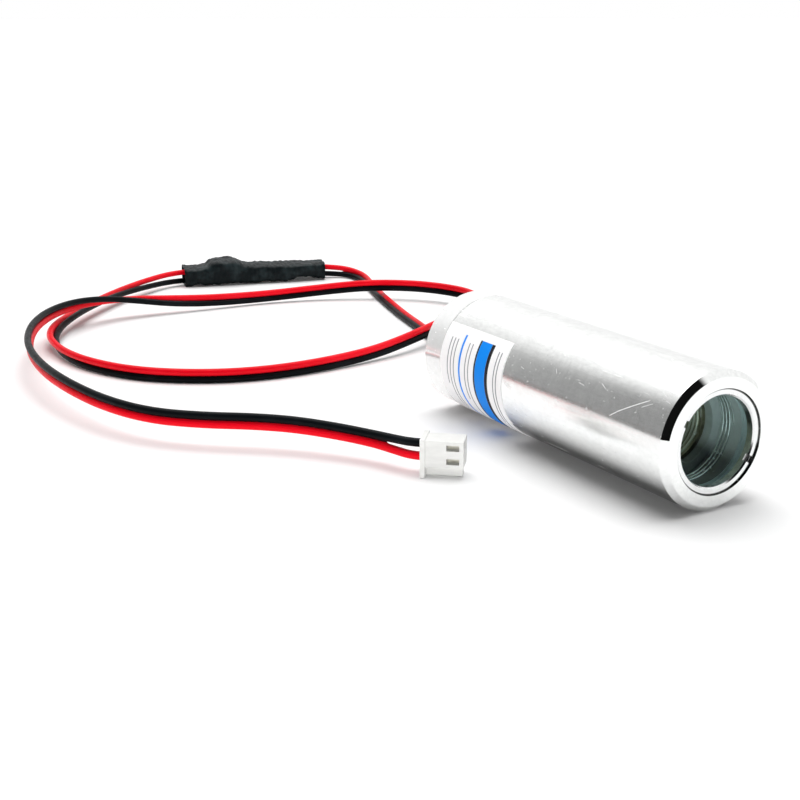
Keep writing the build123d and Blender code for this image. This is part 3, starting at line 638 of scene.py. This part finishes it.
def mesh_piece(name, points, faces, material):
    """A smooth mesh piece that rides on the object."""
    mesh = bpy.data.meshes.new(name)
    mesh.from_pydata(points, [], faces)
    mesh.validate()
    mesh.shade_smooth()
    mesh.materials.append(material)
    piece = bpy.data.objects.new(name, mesh)
    bpy.context.scene.collection.objects.link(piece)
    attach(piece, ROOT)
    return piece


def ring_faces(rings, sides, closed=True):
    """Faces between rings of points, and flat caps at both ends where closed."""
    faces = []
    for i in range(rings - 1):
        for k in range(sides):
            n = (k + 1) % sides
            faces.append((i * sides + k, i * sides + n, (i + 1) * sides + n, (i + 1) * sides + k))
    if closed:
        faces.append(tuple(reversed(range(sides))))
        faces.append(tuple((rings - 1) * sides + k for k in range(sides)))
    return faces


def wire_points(route, side):
    """Points of one wire of a lead in metres: side is 1 for red and -1 for black."""
    middles = [Vector(point[:3]) for point in route]
    points = []
    for i, (*_, lean, extra) in enumerate(route):
        travel = middles[min(i + 1, len(route) - 1)] - middles[max(i - 1, 0)]
        left = Vector((-travel.y, travel.x, 0)).normalized()
        turn = math.radians(lean)
        offset = Vector((0, 0, math.cos(turn))) + left * math.sin(turn)
        points.append((middles[i] + offset * (side * (PAIR_PITCH + extra) / 2)) * MM)
    return points


def smooth_line(points):
    """Points along the smooth curve that has these control points."""
    curve = bpy.data.curves.new("line", "CURVE")
    curve.dimensions = "3D"
    curve.resolution_u = SPLINE_STEPS
    spline = curve.splines.new("NURBS")
    spline.points.add(len(points) - 1)
    for control, point in zip(spline.points, points):
        control.co = (*point, 1)
    spline.order_u = SPLINE_ORDER
    spline.use_endpoint_u = True
    holder = bpy.data.objects.new("line", curve)
    mesh = bpy.data.meshes.new_from_object(holder)
    line = [v.co.copy() for v in mesh.vertices]
    bpy.data.meshes.remove(mesh)
    bpy.data.objects.remove(holder)
    bpy.data.curves.remove(curve)
    return line


def wire_section(gap):
    """Outline of one wire of a pair, with x towards the other wire and a web where they lie side by side."""
    radius = WIRE_DIAMETER / 2 * MM
    outline = []
    for k in range(WIRE_SIDES):
        turn = 2 * math.pi * k / WIRE_SIDES
        x, y = radius * math.cos(turn), radius * math.sin(turn)
        if x > 0 and abs(y) < WEB_SHARE * radius and gap < BOND_REACH * MM:
            x = max(x, gap / 2)
        outline.append((x, y))
    return outline


def wire(name, node, line, other, material, slot):
    """A wire of a bonded pair along its own line, with its web towards the other wire's line."""
    points = []
    last = len(line) - 1
    for i, (here, there) in enumerate(zip(line, other)):
        along = (line[min(i + 1, last)] - line[max(i - 1, 0)]).normalized()
        towards = there - here
        gap = towards.length
        towards = (towards - along * towards.dot(along)).normalized()
        across = along.cross(towards)
        points += [here + towards * x + across * y for x, y in wire_section(gap)]
    piece = mesh_piece(name, points, ring_faces(len(line), WIRE_SIDES), material)
    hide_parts(node)
    return piece


def lead(name, route, finishes):
    """The red and the black wire of a lead, each with the line that it follows."""
    lines = [smooth_line(wire_points(route, side)) for side in (1, -1)]
    made = []
    for (colour, material), line, other in zip(finishes.items(), lines, reversed(lines)):
        names = f"{name}_wire_{colour}", f"{name}_lead_{colour}"
        made.append((wire(*names, line, other, material, f"{colour}_insulation"), line))
    return made


def station_at(along):
    """Sleeve's width, top and underside at a distance along it, eased from station to station."""
    for (a, *low), (b, *high) in zip(SLEEVE_STATIONS, SLEEVE_STATIONS[1:]):
        if along <= b:
            t = (along - a) / (b - a)
            eased = t * t * (3 - 2 * t)
            return [p + (q - p) * eased for p, q in zip(low, high)]
    return list(SLEEVE_STATIONS[-1][1:])


def unevenness(place, kind):
    """Height of the sleeve's lumps or wrinkles at a place in its own frame."""
    spots = [p * scale + shift for p, scale, shift in zip(place, kind["scale"], kind["shift"])]
    return kind["height"] * noise.noise(Vector(spots))


def sleeve_ring(along, inset):
    """One ring of the sleeve in its own frame, drawn in by an inset, with lumps and wrinkles."""
    width, top, under = station_at(along)
    ring = []
    for k in range(SLEEVE_SIDES):
        turn = 2 * math.pi * k / SLEEVE_SIDES
        c, s = math.cos(turn), math.sin(turn)
        squared = (abs(c) ** SLEEVE_SQUARENESS + abs(s) ** SLEEVE_SQUARENESS) ** (-1 / SLEEVE_SQUARENESS)
        y = c * squared * (width / 2 - inset)
        z = (top + under) / 2 + s * squared * ((top - under) / 2 - inset)
        swell = unevenness((along, y, z), LUMPS) + unevenness((along, y, z), WRINKLES)
        ring.append((along, y + c * swell, max(z + s * swell, SLEEVE_FLOOR_GAP + inset)))
    return ring


def sleeve(material):
    """Shrink sleeve as a thin skin, open at both ends."""
    count = round(SLEEVE_STATIONS[-1][0] / SLEEVE_STEP)
    outside = [sleeve_ring(i * SLEEVE_STEP, 0.0) for i in range(count + 1)]
    inside = [sleeve_ring(i * SLEEVE_STEP, SLEEVE_WALL) for i in range(count, -1, -1)]
    turn = math.radians(SLEEVE_ANGLE)
    points = []
    for ring in outside + inside:
        for along, across, up in ring:
            x = SLEEVE_PLACE[0] + along * math.cos(turn) - across * math.sin(turn)
            y = SLEEVE_PLACE[1] + along * math.sin(turn) + across * math.cos(turn)
            points.append(Vector((x, y, up)) * MM)
    rings = len(outside) + len(inside)
    faces = ring_faces(rings, SLEEVE_SIDES, closed=False)
    end = (rings - 1) * SLEEVE_SIDES
    for k in range(SLEEVE_SIDES):
        n = (k + 1) % SLEEVE_SIDES
        faces.append((end + k, end + n, n, k))
    piece = mesh_piece("shrink_sleeve", points, faces, material)
    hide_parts("driver_sleeve")
    return piece


def thread(name, size, material):
    """A helical thread ridge on an inner wall, running out to nothing at both ends."""
    steps = round(size["turns"] * THREAD_STEPS)
    half = size["pitch"] * THREAD_HALF_WIDTH
    foot = size["radius"] + THREAD_SEAT
    points = []
    for i in range(steps + 1):
        turns = i / THREAD_STEPS
        turn = 2 * math.pi * turns
        from_end = min(turns, size["turns"] - turns)
        crest = size["radius"] - size["height"] * min(1.0, THREAD_RUNOUTS_PER_TURN * from_end)
        depth = size["depth"] + size["pitch"] * turns
        profile = ((-half, foot), (0.0, crest), (half, foot))
        for offset, radius in profile:
            x = FRONT_X - (depth + offset) * MM
            points.append((x, radius * MM * math.cos(turn), AXIS_Z + radius * MM * math.sin(turn)))
    mesh_piece(name, points, ring_faces(steps + 1, len(profile)), material)


def dress_nodes(finishes):
    """Gives each shown CAD node its finish."""
    for node, material in finishes.items():
        mesh = NODES[node].data
        mesh.materials.clear()
        mesh.materials.append(material)


def soften(node, width):
    """Rounds a node's edges a little, as a moulding or a machined edge has them."""
    bevel = NODES[node].modifiers.new("edges", "BEVEL")
    bevel.width = width * MM
    bevel.segments = EDGE_SEGMENTS
    bevel.limit_method = "ANGLE"
    bevel.angle_limit = math.radians(EDGE_ANGLE)


def stand_off(node, gap):
    """Draws a node's faces in by a hair, so that they share no plane with the faces that they rest on."""
    inset = NODES[node].modifiers.new("stand_off", "DISPLACE")
    inset.mid_level = 0.0
    inset.strength = -gap * MM


stage()

brass = machined_brass("brass", colour=(0.93, 0.88, 0.72), rough=0.22)
gold = machined_brass("gold_plate", colour=(0.90, 0.74, 0.40), rough=0.18)
thread_brass = turned_metal("thread_brass", colour=(0.97, 0.94, 0.80), rough=0.20, metal=0.3)
thread_metal = turned_metal("thread_aluminium", colour=(0.90, 0.92, 0.92), rough=0.22)
wire_finishes = {
    "red": insulation(
        "red_insulation", colour=(0.79, 0.002, 0.012), pale=(0.85, 0.005, 0.018), sheen=0.12),
    "black": insulation(
        "black_insulation", colour=(0.003, 0.004, 0.005), pale=(0.006, 0.008, 0.010), sheen=0.06),
}

dress_nodes({
    "housing_tube": turned_metal(
        "turned_aluminium", colour=(0.975, 0.985, 0.975), rough=0.19, spread=0.75, barrel=True),
    "front_ring": turned_metal(
        "ring_aluminium", colour=(0.92, 0.93, 0.93), rough=0.20, seam=RING_SEAM_RADIUS),
    "rear_cap": turned_metal(
        "polished_aluminium", colour=(0.975, 0.985, 0.98), rough=0.12, relief=POLISHED_RELIEF, spread=0.6,
        metal=0.4),
    "collimating_lens": coated_glass("coated_glass", tint=(0.79, 0.92, 0.91), clear_radius=LENS_CLEAR_RADIUS),
    "laser_carrier": brass,
    "diode_clamp_ring": brass,
    "diode_header": gold,
    "diode_can": gold,
    "diode_window": coated_glass("window_glass", tint=(0.88, 0.92, 0.92), clear_radius=WINDOW_CLEAR_RADIUS),
    "laser_chip": moulded("laser_crystal", colour=(0.10, 0.10, 0.12), rough=0.2),
    "diode_pins": gold,
    "inner_wire_red": wire_finishes["red"],
    "inner_wire_black": wire_finishes["black"],
    "label": sticker("white_sticker"),
    "driver_board": circuit_board("circuit_board"),
    "power_inductor": moulded("ferrite", colour=(0.05, 0.05, 0.055), rough=0.6),
    "driver_chip": moulded("black_package", colour=(0.02, 0.02, 0.022), rough=0.45),
    "ceramic_capacitors": moulded("tan_ceramic", colour=(0.50, 0.36, 0.21), rough=0.4),
    "schottky_diode": moulded("diode_package", colour=(0.02, 0.02, 0.022), rough=0.45),
    "trim_pot": moulded("trimmer", colour=(0.06, 0.13, 0.42), rough=0.4),
    "plug_housing": moulded("white_nylon", colour=(0.78, 0.78, 0.76), rough=0.38),
    "crimp_terminals": moulded("tinned_metal", colour=(0.90, 0.88, 0.78), rough=0.34, metal=0.7),
})
soften("plug_housing", width=0.12)
soften("front_ring", width=0.05)
soften("housing_tube", width=0.15)
stand_off("collimating_lens", gap=0.01)

shrink_sleeve = sleeve(shrink_tubing("black_sleeve"))
thread("bore_thread", BORE_THREAD, thread_metal)
thread("carrier_thread", CARRIER_THREAD, thread_brass)

for (piece, line), exit_place in zip(lead("output", OUTPUT_ROUTE, wire_finishes), OUTPUT_EXITS):
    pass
for piece, line in lead("power", POWER_ROUTE, wire_finishes):
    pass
